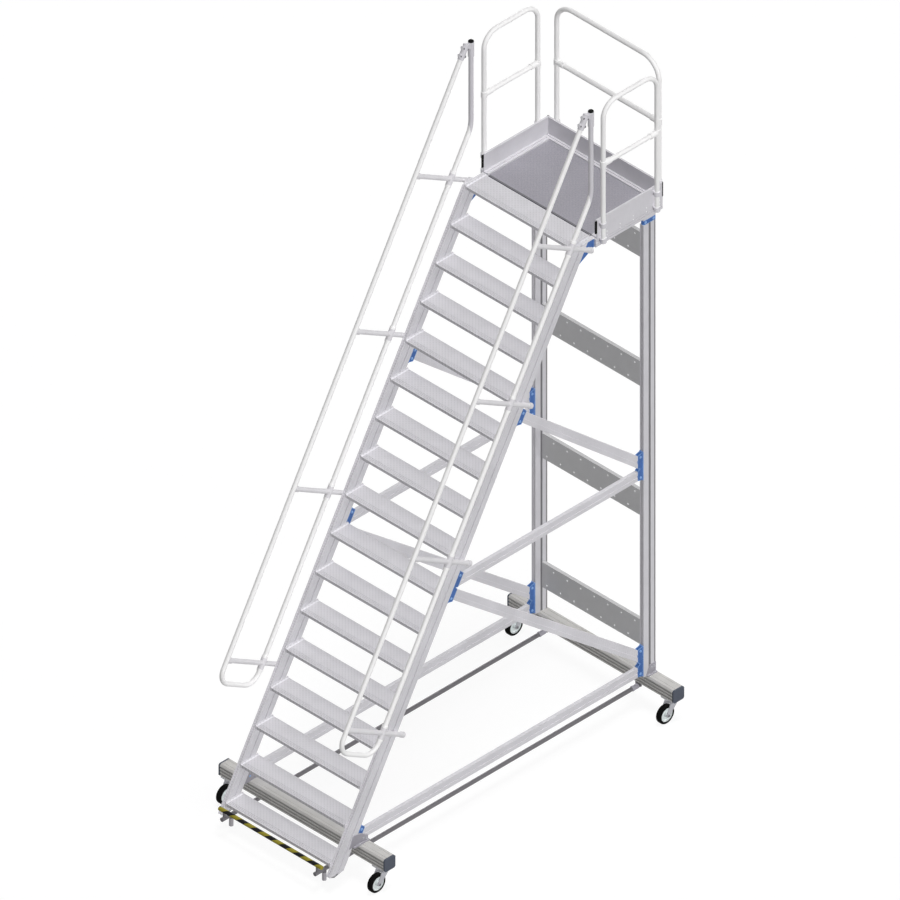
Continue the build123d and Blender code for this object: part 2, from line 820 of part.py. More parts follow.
def make_struts(side):
    """Struts that carry a handrail, laid square across the stringer and held on round bosses."""
    x = side * handrail_x
    half = strut_sleeve_length / 2
    struts = []
    for along in strut_places():
        tail = on_slope(along, -strut_tail)
        head = on_slope(along, outer_leg_ahead)
        strut = rod((x, *tail), (x, *head), tube_radius)
        collar = on_slope(along, strut_collar_length - strut_tail)
        strut += rod((x, *tail), (x, *collar), sleeve_radius)
        neck = on_slope(along, outer_leg_ahead - tube_radius - strut_head_sleeve)
        strut += rod((x, *neck), (x, *head), sleeve_radius)
        for ahead in (strut_boss_inset, stringer_depth - strut_boss_inset):
            y, z = on_slope(along, ahead)
            face = side * stringer_outer_x
            strut += rod((face, y, z), (x, y, z), strut_boss_diameter / 2)
        for ahead, radius in ((inner_leg_ahead, sleeve_radius), (outer_leg_ahead, tube_radius)):
            low = on_slope(along - half, ahead)
            high = on_slope(along + half, ahead)
            strut -= rod((x, *low), (x, *high), radius)
        struts.append(strut)
    return struts


def make_handrail_caps():
    """Caps on the tops of the handrail posts."""
    caps = []
    for side in (-1, 1):
        low = (side * handrail_x, handrail_post_y, handrail_post_top)
        high = (side * handrail_x, handrail_post_y, handrail_post_top + handrail_cap_height)
        caps.append(rod(low, high, tube_radius - handrail_cap_inset))
    return caps


def make_lift_rod(side):
    """Long rod under the stairs, with its foot, the arm of the foot bar and its hangers."""
    x = side * lift_rod_x
    start = (x, lift_rod_front_y, lift_rod_z)
    gear = rod(start, (x, lift_rod_back_y, lift_rod_z), lift_rod_radius)
    gear += rod((x, lift_foot_y, lift_foot_low_z), (x, lift_foot_y, lift_rod_z), lift_rod_radius)
    gear += rod((x, lift_bar_y, lift_rod_z), (x, lift_bar_y, lift_bar_z), lift_arm_diameter / 2)
    half = lift_hanger_width / 2
    for y0 in (front_beam_y, lift_rod_back_y - lift_hanger_thickness):
        y1 = y0 + lift_hanger_thickness
        gear += block(x - half, x + half, y0, y1, lift_rod_z, beam_bottom_z)
    return gear


def make_lift_bar(gear):
    """Striped foot bar across the front of the stairs."""
    half = tread_length / 2 - lift_bar_end_inset
    bar = rod((-half, lift_bar_y, lift_bar_z), (half, lift_bar_y, lift_bar_z), lift_bar_radius)
    for piece in gear:
        bar -= piece
    return bar


# Casters: name, side and Y of the swivel
caster_table = (
    ("front_left", -1, front_beam_y),
    ("front_right", 1, front_beam_y),
    ("rear_left", -1, rear_beam_y),
    ("rear_right", 1, rear_beam_y),
)


def make_caster_plates():
    """Mounting plates of the casters under the beams."""
    plates = []
    for name, side, y in caster_table:
        x = side * caster_x
        half_x = caster_plate_length / 2
        half_y = caster_plate_depth / 2
        plate = block(x - half_x, x + half_x, y - half_y, y + half_y, caster_plate_z, beam_bottom_z)
        hole = Pos(x, y, caster_plate_z) * Cylinder(kingpin_radius + axle_clearance, 2 * cut_overrun)
        plates.append(plate - hole)
    return plates


def make_fork(side, y):
    """Swivel fork: race, crown, two slanted legs and the axle."""
    x = side * caster_x
    crown_top = fork_crown_z + fork_crown_thickness
    half_depth = fork_crown_depth / 2
    half_x = fork_outer_half
    fork = block(x - half_x, x + half_x, y - half_depth, y + half_depth, fork_crown_z, crown_top)
    race_top = caster_plate_z - race_gap
    fork += rod((x, y, crown_top), (x, y, race_top), race_radius)
    fork += rod((x, y, race_top), (x, y, beam_bottom_z - kingpin_end_gap), kingpin_radius)
    axle_y = y - caster_trail
    foot = fork_foot_radius
    leg = [(y - half_depth, crown_top), (y + half_depth, crown_top)]
    leg += [(y + half_depth, fork_crown_z)]
    leg += [(axle_y + foot * slope_sin, wheel_radius - foot * slope_cos)]
    leg += [(axle_y - foot * slope_sin, wheel_radius + foot * slope_cos)]
    for cheek in (-1, 1):
        cheek_x = x + cheek * (fork_inner_half + fork_plate / 2)
        fork += side_prism(leg, cheek_x, fork_plate)
        middle = (x, axle_y, wheel_radius)
        near = (x + cheek * fork_inner_half, axle_y, wheel_radius)
        face = (x + cheek * fork_outer_half, axle_y, wheel_radius)
        outer = (x + cheek * (fork_outer_half + axle_nut_height), axle_y, wheel_radius)
        fork += rod(near, face, foot)
        fork += rod(middle, outer, axle_radius)
        fork += rod(face, outer, axle_nut_radius)
    return fork


def turned(points, x, y):
    """Half section of X and radius points, turned about a wheel's axle."""
    face = make_face(Polyline(*points, close=True))
    return Pos(x, y, wheel_radius) * revolve(face, axis=Axis.X)


def make_rim(side, y):
    """Rim with a thin web and a hub that runs on the axle."""
    bore = axle_radius + axle_clearance
    hub = fork_inner_half - hub_end_gap
    web = rim_web / 2
    half = rim_width / 2
    inner = tyre_inner_radius - rim_wall
    points = [(-hub, bore), (-hub, hub_radius), (-web, hub_radius), (-web, inner), (-half, inner)]
    points += [(-half, tyre_inner_radius), (half, tyre_inner_radius), (half, inner), (web, inner)]
    points += [(web, hub_radius), (hub, hub_radius), (hub, bore)]
    return turned(points, side * caster_x, y)


def make_tyre(side, y):
    """Solid tyre with rounded shoulders."""
    half = wheel_width / 2
    ring = Plane.YZ * (Circle(wheel_radius) - Circle(tyre_inner_radius))
    tyre = extrude(ring, half, both=True)
    rims = tyre.edges().filter_by(GeomType.CIRCLE).sort_by(SortBy.RADIUS)[-2:]
    tyre = fillet(rims, tyre_round)
    return Pos(side * caster_x, y, wheel_radius) * tyre


def save(name, shapes):
    """Write one node, moved so that the origin is the middle of the footprint."""
    solids = []
    for shape in shapes:
        solids += shape.solids()
    placed = [Pos(0, -footprint_mid_y, 0) * solid for solid in solids]
    node = placed[0] if len(placed) == 1 else Compound(children=placed)
    export_step(node, "parts/" + name + ".step")


def main():
    """Write every node of the stairs."""
    os.makedirs("parts", exist_ok=True)
    for number in range(tread_count):
        save(f"tread_{number + 1:02d}", [make_tread(number)])
    for side, word in ((-1, "left"), (1, "right")):
        save("stringer_" + word, [make_stringer(side)])
        save("post_" + word, [make_post(side)])
        save("braces_" + word, make_braces(side))
        save("brace_joints_" + word, make_joints(side))
        save("side_railing_" + word, [make_side_railing(side)])
        save("handrail_" + word, [make_handrail(side)])
        save("handrail_struts_" + word, make_struts(side))
    save("foot_plugs", both_sides(make_foot_plug))
    save("beam_front", [make_beam(front_beam_y)])
    save("beam_rear", [make_beam(rear_beam_y)])
    save("beam_caps", make_beam_caps())
    save("cross_boards", make_boards())
    save("front_brackets", both_sides(make_front_bracket))
    save("rear_brackets", both_sides(make_rear_bracket))
    save("platform_frame", [make_platform_frame()])
    save("platform_floor", [make_floor()])
    save("toe_boards", [make_toe_boards()])
    save("toe_board_caps", make_toe_caps())
    save("rear_railing", [make_rear_railing()])
    save("railing_clamps", make_clamps())
    save("handrail_caps", make_handrail_caps())
    gear = both_sides(make_lift_rod)
    save("lift_rods", gear)
    save("lift_bar", [make_lift_bar(gear)])
    save("caster_plates", make_caster_plates())
    for name, side, y in caster_table:
        axle_y = y - caster_trail
        save("fork_" + name, [make_fork(side, y)])
        save("rim_" + name, [make_rim(side, axle_y)])
        save("tyre_" + name, [make_tyre(side, axle_y)])


main()
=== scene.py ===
import json
import math

import bmesh
import bpy
from mathutils import Matrix, Vector


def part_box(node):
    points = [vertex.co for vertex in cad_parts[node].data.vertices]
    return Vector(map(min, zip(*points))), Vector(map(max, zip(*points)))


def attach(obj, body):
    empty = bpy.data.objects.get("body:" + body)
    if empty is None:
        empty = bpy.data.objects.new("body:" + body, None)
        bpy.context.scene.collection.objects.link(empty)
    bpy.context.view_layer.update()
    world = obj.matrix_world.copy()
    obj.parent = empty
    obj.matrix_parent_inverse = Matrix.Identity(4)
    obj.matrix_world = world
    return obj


# Looks of the mobile platform stairs. Metres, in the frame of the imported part:
# X across the stairs, Y the way one climbs, Z up, the floor at Z zero.

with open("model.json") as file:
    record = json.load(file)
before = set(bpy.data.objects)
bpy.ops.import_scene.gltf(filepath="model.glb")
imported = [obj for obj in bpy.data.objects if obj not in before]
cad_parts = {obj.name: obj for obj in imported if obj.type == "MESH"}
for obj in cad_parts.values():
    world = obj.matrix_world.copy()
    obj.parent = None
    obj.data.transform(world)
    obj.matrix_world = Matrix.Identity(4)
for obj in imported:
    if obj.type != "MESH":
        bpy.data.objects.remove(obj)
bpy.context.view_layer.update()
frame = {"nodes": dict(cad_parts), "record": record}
nodes = frame["nodes"]

# Camera, a parallel view from the front right
view_azimuth = math.radians(45.0)
view_elevation = math.radians(35.77)
view_width = 5.882
view_centre = Vector((0.0, 0.0995, 2.495))
view_distance = 14.0

# Lights: name, azimuth, elevation in degrees, strength, casts a shadow
lamp_table = (
    ("top", 90.0, 80.0, 0.60, True),
    ("top_soft", 90.0, 80.0, 0.74, False),
    ("side", 90.0, 8.0, 0.35, True),
    ("side_soft", 90.0, 8.0, 1.60, False),
    ("front", 0.0, 45.0, 0.80, False),
    ("back", 225.0, 10.0, 1.30, False),
)
lamp_spread = math.radians(18.0)

# Floor and background
white = (1.0, 1.0, 1.0, 1.0)
sky_strength = 0.12
shown_strength = 1.0
floor_size = 40.0
floor_colour = (0.30, 0.30, 0.30, 1.0)
floor_glow = 0.74

# Sizes of the part, the same as in its CAD
mid_y = 1.28151
slope = math.radians(60.0)
back_edge_y = -0.1979 - mid_y
slope_offset = 1.28121
stringer_x = 0.500
stringer_half = 0.0175
stringer_depth = 0.110
stringer_length = 4.6777
outer_x = stringer_x + stringer_half
post_front_y = 2.65302 - mid_y
post_back_y = 2.76302 - mid_y
post_groove_y = (post_front_y + post_back_y) / 2
brace_half = 0.0135
joint_depth = 0.050
joint_post_spans = ((0.289, 0.530), (1.869, 2.093))
joint_flight_spans = ((0.349, 0.487), (2.076, 2.312), (3.349, 3.477))
post_cap_z = 3.934
board_front_y = 2.71402 - mid_y
board_top_z = 0.668
board_rise = 1.040
board_count = 4
platform_half = 0.529
platform_front_y = 2.21302 - mid_y
platform_back_y = 2.81802 - mid_y
floor_z = 4.040
handrail_x = 0.554
outer_leg_ahead = 0.582
inner_leg_ahead = 0.203
knuckle_y = 2.08702 - mid_y
strut_shares = (0.246, 0.5094, 0.7513, 0.9901)
bracket_wall = 0.004
bracket_foot_z = 0.285
rod_z = 0.152
caster_plate_z = 0.169
axle_z = 0.070
corners = ("front_left", "front_right", "rear_left", "rear_right")

# Directions
across = (1.0, 0.0, 0.0)
climbing = (0.0, 1.0, 0.0)
upward = (0.0, 0.0, 1.0)
up_slope = (0.0, math.cos(slope), math.sin(slope))
off_slope = (0.0, -math.sin(slope), math.cos(slope))
round_stringer = (1.0, -math.sin(slope), math.cos(slope))

# Finishes: colour, metal share, roughness, specular level, size of the grain, its stretch on X, Y
# and Z, depth of the grain, strength of the colour's variation
plain = (1.0, 1.0, 1.0)
along_x = (0.04, 1.0, 1.0)
finishes = {
    "tread_aluminium": ((0.575, 0.565, 0.595), 0.10, 0.55, 0.30, 0.0015, (0.06, 1.0, 1.0), 0.10, 0.08),
    "frame_aluminium": ((0.58, 0.57, 0.60), 0.15, 0.50, 0.30, 0.0015, (1.0, 1.0, 0.04), 0.08, 0.06),
    "beam_aluminium": ((0.475, 0.465, 0.450), 0.15, 0.50, 0.30, 0.0015, along_x, 0.10, 0.10),
    "board_aluminium": ((0.515, 0.515, 0.520), 0.10, 0.52, 0.30, 0.0015, along_x, 0.06, 0.05),
    "floor_aluminium": ((0.290, 0.280, 0.318), 0.10, 0.55, 0.25, 0.0090, plain, 0.10, 0.22),
    "rail_tube": ((0.85, 0.845, 0.845), 0.0, 0.48, 0.14, 0.0012, plain, 0.03, 0.03),
    "joint_blue": ((0.045, 0.125, 0.36), 0.0, 0.45, 0.30, 0.0045, plain, 0.12, 0.40),
    "bracket_metal": ((0.31, 0.30, 0.335), 0.20, 0.52, 0.30, 0.0018, plain, 0.14, 0.10),
    "foot_plastic": ((0.24, 0.24, 0.25), 0.0, 0.65, 0.20, 0.0010, plain, 0.10, 0.12),
    "cap_plastic": ((0.070, 0.080, 0.105), 0.0, 0.60, 0.20, 0.0010, plain, 0.12, 0.15),
    "black_plastic": ((0.006, 0.006, 0.006), 0.0, 0.75, 0.10, 0.0010, plain, 0.10, 0.15),
    "rod_steel": ((0.145, 0.140, 0.150), 0.15, 0.50, 0.30, 0.0015, (1.0, 0.05, 1.0), 0.06, 0.08),
    "caster_steel": ((0.42, 0.42, 0.45), 0.35, 0.45, 0.30, 0.0015, plain, 0.05, 0.10),
    "rim_plastic": ((0.62, 0.66, 0.66), 0.0, 0.45, 0.30, 0.0012, plain, 0.05, 0.05),
    "tyre_rubber": ((0.004, 0.004, 0.004), 0.0, 0.90, 0.05, 0.0008, plain, 0.18, 0.20),
    "bolt_blue": ((0.22, 0.38, 0.66), 0.0, 0.40, 0.40, 0.0012, plain, 0.05, 0.06),
    "bolt_dark": ((0.16, 0.16, 0.17), 0.40, 0.45, 0.30, 0.0012, plain, 0.05, 0.06),
    "rivet_light": ((0.80, 0.80, 0.81), 0.10, 0.40, 0.40, 0.0012, plain, 0.05, 0.04),
    "stringer_aluminium": ((0.61, 0.60, 0.63), 0.15, 0.50, 0.30, 0.0040, plain, 0.06, 0.12),
    "strut_aluminium": ((0.66, 0.65, 0.67), 0.0, 0.48, 0.14, 0.0012, plain, 0.05, 0.06),
    "clamp_aluminium": ((0.60, 0.59, 0.62), 0.10, 0.45, 0.30, 0.0020, plain, 0.12, 0.12),
}
grain_detail = 3.0
grain_height = 0.0005
broad_factor = 60
grain_share = 0.5
ramp_ends = (0.3, 0.7)
rough_change = 0.08

# Materials with the finish of another one and marks of their own
finish_copies = {
    "post_aluminium": "frame_aluminium",
    "brace_aluminium": "stringer_aluminium",
    "platform_aluminium": "frame_aluminium",
    "handrail_tube": "rail_tube",
}

# Nodes whose material isn't that of their slot
node_materials = {
    "post_left": "post_aluminium",
    "post_right": "post_aluminium",
    "stringer_left": "stringer_aluminium",
    "stringer_right": "stringer_aluminium",
    "braces_left": "brace_aluminium",
    "braces_right": "brace_aluminium",
    "platform_frame": "platform_aluminium",
    "handrail_left": "handrail_tube",
    "handrail_right": "handrail_tube",
    "handrail_struts_left": "strut_aluminium",
    "handrail_struts_right": "strut_aluminium",
    "railing_clamps": "clamp_aluminium",
}

# Paint of the foot bar
stripe_period = 0.130
stripe_lean = 1.13
stripe_share = 0.5
stripe_yellow = (0.30, 0.26, 0.03, 1.0)
stripe_black = (0.005, 0.005, 0.005, 1.0)
stripe_rough = 0.70
stripe_gloss = 0.15
stripe_grain = 0.0015
stripe_relief = 0.08

# Rows of small dents with painted shade inside them: material, pitch, shade, strength of the relief, the
# rows' two directions
dent_table = (
    ("tread_aluminium", 0.028, 0.84, 0.3, (across, climbing)),
    ("floor_aluminium", 0.028, 0.93, 0.3, (across, climbing)),
    ("stringer_aluminium", 0.018, 0.80, 0.1, (up_slope, round_stringer)),
    ("brace_aluminium", 0.018, 0.84, 0.1, (up_slope, round_stringer)),
)
dent_rim = (0.35, 0.75)
dent_height = 0.001

# Bands of another tone, among them painted shade and painted light: material, direction, places along it,
# half a width, shade
band_table = (
    # painted highlight: a lighter line along both ends of each tread
    ("tread_aluminium", across, (-0.4735, 0.4735), 0.0035, 1.30),
    ("floor_aluminium", climbing, (platform_front_y,), 0.013, 0.42),
    # painted shade in the three grooves along the beams' sides
    ("beam_aluminium", upward, (0.202, 0.227, 0.252), 0.0062, 0.45),
    # painted shade in the posts' grooves: the middle groove of their sides, a line near their back edges
    # and the groove of their front and back faces
    ("post_aluminium", climbing, (post_groove_y + 0.003,), 0.0065, 0.42),
    ("post_aluminium", climbing, (post_back_y - 0.007,), 0.0060, 0.40),
    ("post_aluminium", across, (-stringer_x, stringer_x), 0.0055, 0.60),
    # painted shade along the edges of the stringers' grooves
    ("stringer_aluminium", off_slope, (slope_offset + 0.046, slope_offset + 0.064), 0.0020, 0.92),
    ("stringer_aluminium", off_slope, (slope_offset + 0.103,), 0.0020, 0.92),
    # painted light: a lighter tone on the stringers' front faces
    ("stringer_aluminium", off_slope, (slope_offset + stringer_depth,), 0.0010, 1.20),
    ("platform_aluminium", upward, (floor_z - 0.0215, floor_z - 0.0415), 0.0030, 0.82),
    ("rod_steel", upward, (0.0,), 0.128, 2.4),
)

# Lighter edges, partly worn paint and metal and partly a painted highlight: material, radius of the edge,
# factors on the colour
edge_wear_and_highlight_table = (
    ("joint_blue", 0.010, (4.2, 2.7, 1.8)),
    ("bracket_metal", 0.004, (1.25, 1.25, 1.25)),
)
worn_lit_edge_samples = 6
worn_lit_edge_turn = (0.995, 0.94)

# Painted shade on the handrails' upright parts, and the grey of the knuckle and of the sleeves of the
# inner leg
upright_half = 0.0205
upright_shade_knuckle_grey = (0.70, 0.69, 0.73)
knuckle_low = 4.728
knuckle_half = 0.2
sleeve_half = 0.040
sleeve_reach = 0.05
sleeve_tone = (0.78, 0.77, 0.80)

# Small parts: profiles are shares of the radius and of the height
sink = 0.0005
rivet_rise = 0.55
rivet_profile = ((1.0, 0.2), (0.85, 0.6), (0.45, 1.0))
rivet_sides = 12
washer_radius = 1.35
washer_rise = 0.18
washer_sides = 16
bolt_profile = ((1.0, 0.0), (1.0, 0.82), (0.86, 1.0), (0.52, 1.0), (0.45, 0.80))
plate_edge = 0.7
plate_cut = 0.97
turned_sides = 24
plug_sides = 20

# Rivets: rows down from a board's top with their end and count, then those of the platform
board_rivet = 0.0065
board_rows = ((0.033, 0.375, 7), (0.168, 0.4375, 8))
platform_rivet = 0.0045
platform_rows = (floor_z - 0.012, floor_z + 0.018)
platform_side_rivets = (platform_front_y + 0.09, platform_back_y - 0.03, 5)
platform_back_rivets = (-0.42, 0.42, 7)

# Bolts, as radius and height, and their places
joint_bolt = (0.0075, 0.005)
post_joint_inset = 0.030
flight_joint_inset = 0.034
cap_bolt = (0.0080, 0.004)
cap_bolt_inset = 0.018
cheek_bolt = (0.0065, 0.004)
cheek_bolts = ((0.055, 0.310), (0.082, 0.300))
front_foot_bolt = (0.0065, 0.005)
front_foot_bolts = (0.020, 0.090)
front_foot_reach = 0.0105
post_bolt = (0.0075, 0.005)
post_bolts = (post_back_y - 0.042, post_back_y - 0.016)
post_bolt_z = 0.330
rear_foot_bolt = (0.0060, 0.005)
rear_foot_bolts = (post_front_y + 0.040, post_back_y - 0.018)
rear_foot_reach = 0.0115
caster_bolt = (0.0060, 0.004)
caster_plate_inset = 0.033
caster_bolt_x = 0.044
caster_bolt_y = 0.034
clamp_screw = (0.0050, 0.004)
clamp_heights = (floor_z - 0.014, floor_z + 0.110)
clamp_reach = 0.017
clamp_out = 0.011
side_clamps = (platform_front_y + 0.033, platform_back_y - 0.075)
rear_clamp_inset = 0.057

# Turned pieces: radius and height of each ring
brim_rings = ((0.0160, 0.0), (0.0195, 0.003), (0.0195, 0.008), (0.0150, 0.012))
sleeve_rings = ((0.0155, 0.0), (0.0175, 0.003), (0.0175, 0.040))
sleeve_rings += ((0.0190, 0.043), (0.0190, 0.053), (0.0155, 0.056))
nut_rings = ((0.0105, -0.005), (0.0105, 0.0010), (0.0088, 0.0025))
plug_rings = ((0.0150, -0.002), (0.0160, 0.0015), (0.0120, 0.004), (0.0050, 0.005))

# Front brackets' cheeks, the lift rods' sleeves, the struts' ends
cheek_outline = ((-0.070, 0.279), (-0.036, 0.366), (-0.026, 0.371), (0.044, 0.354))
cheek_outline += ((0.058, 0.346), (0.100, 0.300), (0.1055, 0.279))
rod_inset = 0.0525
rod_sleeve_inset = 0.014
strut_end_ahead = -0.020

# Lugs of the knuckles
lug_size = (0.024, 0.016, 0.026)
lug_cut = 0.003
lugs_below = (0.028, 0.084)
lugs_ahead = (-0.023, 0.023)
lug_screw = (0.0050, 0.004)

# Strips around the rear corners of the toe boards
strip_outer = 0.010
strip_inner = 0.004
strip_steps = 7
strip_corner = 0.008
strip_stand = 0.003
strip_span = (floor_z + 0.040, floor_z + 0.150)


def place_object(name, data):
    """New object in the scene."""
    thing = bpy.data.objects.new(name, data)
    bpy.context.scene.collection.objects.link(thing)
    return thing


def towards(azimuth, elevation):
    """Direction from the part to a camera or a lamp, azimuth counted from minus Y to plus X."""
    flat = math.cos(elevation)
    return Vector((math.sin(azimuth) * flat, -math.cos(azimuth) * flat, math.sin(elevation)))


def make_camera():
    """Parallel camera at the photograph's angle."""
    data = bpy.data.cameras.new("camera")
    data.type = "ORTHO"
    data.ortho_scale = view_width
    data.clip_end = 2 * view_distance + floor_size
    camera = place_object("camera", data)
    way = towards(view_azimuth, view_elevation)
    camera.location = view_centre + way * view_distance
    camera.rotation_euler = way.to_track_quat("Z", "Y").to_euler()
    bpy.context.scene.camera = camera


def make_lamp(name, azimuth, elevation, strength, shadow):
    """Soft distant lamp."""
    data = bpy.data.lights.new(name, "SUN")
    data.energy = strength
    data.angle = lamp_spread
    data.use_shadow = shadow
    lamp = place_object(name, data)
    way = towards(math.radians(azimuth), math.radians(elevation))
    lamp.rotation_euler = way.to_track_quat("Z", "Y").to_euler()


def combine(tree, operation, *terms):
    """Value from a sum on up to three terms, each a socket or a number."""
    node = tree.nodes.new("ShaderNodeMath")
    node.operation = operation
    for socket, term in zip(node.inputs, terms):
        if isinstance(term, float):
            socket.default_value = term
        else:
            tree.links.new(term, socket)
    return node.outputs[0]


def place_along(tree, way):
    """How far a point of the object lies along a direction."""
    place = tree.nodes.new("ShaderNodeTexCoord")
    along = tree.nodes.new("ShaderNodeVectorMath")
    along.operation = "DOT_PRODUCT"
    along.inputs[1].default_value = way
    tree.links.new(place.outputs["Object"], along.inputs[0])
    return along.outputs["Value"]


def seen_directly(tree):
    """Value that is 1 for camera, mirror and glass rays and 0 for all others."""
    path = tree.nodes.new("ShaderNodeLightPath")
    seen = combine(tree, "MAXIMUM", path.outputs["Is Camera Ray"], path.outputs["Is Glossy Ray"])
    return combine(tree, "MAXIMUM", seen, path.outputs["Is Transmission Ray"])


def make_world():
    """White background, with a plain soft sky for the light."""
    world = bpy.data.worlds.new("world")
    bpy.context.scene.world = world
    world.use_nodes = True
    tree = world.node_tree
    tree.nodes.clear()
    out = tree.nodes.new("ShaderNodeOutputWorld")
    mix = tree.nodes.new("ShaderNodeMixShader")
    tree.links.new(seen_directly(tree), mix.inputs[0])
    for number, strength in ((1, sky_strength), (2, shown_strength)):
        background = tree.nodes.new("ShaderNodeBackground")
        background.inputs["Color"].default_value = white
        background.inputs["Strength"].default_value = strength
        tree.links.new(background.outputs[0], mix.inputs[number])
    tree.links.new(mix.outputs[0], out.inputs[0])


def make_floor():
    """Pale floor that shows white and keeps the shadow."""
    half = floor_size / 2
    mesh = bpy.data.meshes.new("floor")
    outline = [(-half, -half, 0.0), (half, -half, 0.0), (half, half, 0.0), (-half, half, 0.0)]
    mesh.from_pydata(outline, [], [(0, 1, 2, 3)])
    floor = place_object("floor", mesh)
    material = bpy.data.materials.new("floor")
    material.use_nodes = True
    tree = material.node_tree
    tree.nodes.clear()
    out = tree.nodes.new("ShaderNodeOutputMaterial")
    add = tree.nodes.new("ShaderNodeAddShader")
    matt = tree.nodes.new("ShaderNodeBsdfDiffuse")
    matt.inputs["Color"].default_value = floor_colour
    glow = tree.nodes.new("ShaderNodeEmission")
    tree.links.new(combine(tree, "MULTIPLY", seen_directly(tree), floor_glow), glow.inputs["Strength"])
    tree.links.new(matt.outputs[0], add.inputs[0])
    tree.links.new(glow.outputs[0], add.inputs[1])
    tree.links.new(add.outputs[0], out.inputs[0])
    mesh.materials.append(material)


def grain(tree, size, stretch):
    """Fine noise in the object's own space, drawn out along the extrusion."""
    place = tree.nodes.new("ShaderNodeTexCoord")
    mapping = tree.nodes.new("ShaderNodeMapping")
    mapping.inputs["Scale"].default_value = stretch
    noise = tree.nodes.new("ShaderNodeTexNoise")
    noise.inputs["Scale"].default_value = 1.0 / size
    noise.inputs["Detail"].default_value = grain_detail
    tree.links.new(place.outputs["Object"], mapping.inputs["Vector"])
    tree.links.new(mapping.outputs["Vector"], noise.inputs["Vector"])
    return noise.outputs["Fac"]


def add_relief(tree, height, strength, distance, dented=False):
    """Relief of a height, on top of the relief that the surface has already."""
    normal = tree.nodes["Principled BSDF"].inputs["Normal"]
    bump = tree.nodes.new("ShaderNodeBump")
    bump.invert = dented
    bump.inputs["Strength"].default_value = strength
    bump.inputs["Distance"].default_value = distance
    if normal.links:
        tree.links.new(normal.links[0].from_socket, bump.inputs["Normal"])
    tree.links.new(height, bump.inputs["Height"])
    tree.links.new(bump.outputs["Normal"], normal)


def make_material(name, colour, metal, rough, gloss, size, stretch, depth, change):
    """Principled surface with grain in its colour, roughness and relief."""
    material = bpy.data.materials.new(name)
    material.use_nodes = True
    tree = material.node_tree
    surface = tree.nodes["Principled BSDF"]
    surface.inputs["Metallic"].default_value = metal
    surface.inputs["Specular IOR Level"].default_value = gloss
    fine = grain(tree, size, stretch)
    broad = grain(tree, broad_factor * size, plain)
    blend = tree.nodes.new("ShaderNodeMix")
    blend.inputs["Factor"].default_value = grain_share
    tree.links.new(fine, blend.inputs["A"])
    tree.links.new(broad, blend.inputs["B"])
    ramp = tree.nodes.new("ShaderNodeValToRGB")
    for end, place, factor in zip(ramp.color_ramp.elements, ramp_ends, (1.0 - change, 1.0 + change)):
        end.position = place
        end.color = (*(min(value * factor, 1.0) for value in colour), 1.0)
    tree.links.new(blend.outputs["Result"], ramp.inputs["Fac"])
    tree.links.new(ramp.outputs["Color"], surface.inputs["Base Color"])
    polish = tree.nodes.new("ShaderNodeMapRange")
    polish.inputs["To Min"].default_value = rough - rough_change
    polish.inputs["To Max"].default_value = rough + rough_change
    tree.links.new(broad, polish.inputs["Value"])
    tree.links.new(polish.outputs["Result"], surface.inputs["Roughness"])
    add_relief(tree, fine, depth, grain_height)
    return material


def make_stripe_material():
    """Slanted stripes of olive yellow and black paint on the foot bar."""
    material = bpy.data.materials.new("bar_paint")
    material.use_nodes = True
    tree = material.node_tree
    surface = tree.nodes["Principled BSDF"]
    surface.inputs["Roughness"].default_value = stripe_rough
    surface.inputs["Specular IOR Level"].default_value = stripe_gloss
    slanted = place_along(tree, (1.0, -stripe_lean, -stripe_lean))
    ramp = tree.nodes.new("ShaderNodeValToRGB")
    ramp.color_ramp.interpolation = "CONSTANT"
    ramp.color_ramp.elements[0].color = stripe_yellow
    ramp.color_ramp.elements[1].position = stripe_share
    ramp.color_ramp.elements[1].color = stripe_black
    turns = combine(tree, "DIVIDE", slanted, stripe_period)
    tree.links.new(combine(tree, "FRACT", turns), ramp.inputs["Fac"])
    tree.links.new(ramp.outputs["Color"], surface.inputs["Base Color"])
    add_relief(tree, grain(tree, stripe_grain, plain), stripe_relief, grain_height)
    return material


def tint(tree, mask, factors):
    """Multiply the surface's colour by three factors where the mask is 1."""
    surface = tree.nodes["Principled BSDF"]
    before = surface.inputs["Base Color"].links[0].from_socket
    tinted = tree.nodes.new("ShaderNodeMix")
    tinted.data_type = "RGBA"
    tinted.blend_type = "MULTIPLY"
    sockets = [socket for socket in tinted.inputs if socket.type == "RGBA"]
    sockets[1].default_value = (*factors, 1.0)
    result = [socket for socket in tinted.outputs if socket.type == "RGBA"][0]
    tree.links.new(mask, tinted.inputs["Factor"])
    tree.links.new(before, sockets[0])
    tree.links.new(result, surface.inputs["Base Color"])


def band_mask(tree, way, centre, half):
    """Value that is 1 within half a width of a plane square to a direction."""
    return combine(tree, "COMPARE", place_along(tree, way), centre, half)


def add_bands(name, way, centres, half, shade):
    """Bands of another tone, such as painted shade inside grooves and painted light on a face or an edge.
    """
    tree = materials[name].node_tree
    for centre in centres:
        tint(tree, band_mask(tree, way, centre, half), (shade, shade, shade))


